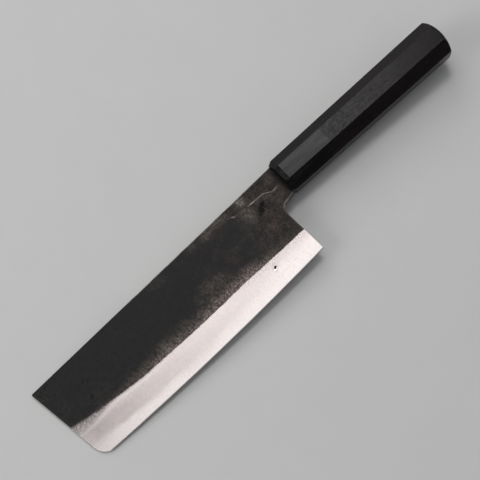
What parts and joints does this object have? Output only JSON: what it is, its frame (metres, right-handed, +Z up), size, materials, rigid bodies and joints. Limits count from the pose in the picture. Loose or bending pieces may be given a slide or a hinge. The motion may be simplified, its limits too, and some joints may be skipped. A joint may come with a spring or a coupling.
{
  "type": "nakiri knife",
  "caption": "Straight-edged vegetable knife with a black forge-finished blade, a polished ground bevel and an eight-sided dark wood handle with a horn ferrule.",
  "frame": {"origin": "middle of the knife's box, on the surface it lies on", "axes": "+X towards the butt of the handle, +Y from the cutting edge to the spine, +Z up, out of the blade's left side; the knife leans on the ferrule's front corner and the blade's leading corner, so its middle plane rises about 2.9 degrees towards the butt"},
  "size_m": [0.2943, 0.0584, 0.0266],
  "materials": {
    "hard_steel": "ground and honed",
    "soft_iron": "black forge scale above the bevel, satin ground on it",
    "horn": "polished black horn",
    "ebony": "oiled fine-grained black wood",
    "magnolia": "bare pale wood, inside the handle",
    "resin": "set resin, inside the handle"
  },
  "bodies": {
    "root": {"core_steel": "hard_steel", "left_cladding": "soft_iron", "right_cladding": "soft_iron", "ferrule": "horn", "handle_body": "ebony", "tang_dowel": "magnolia", "tang_bedding": "resin"}
  },
  "joints": []
}
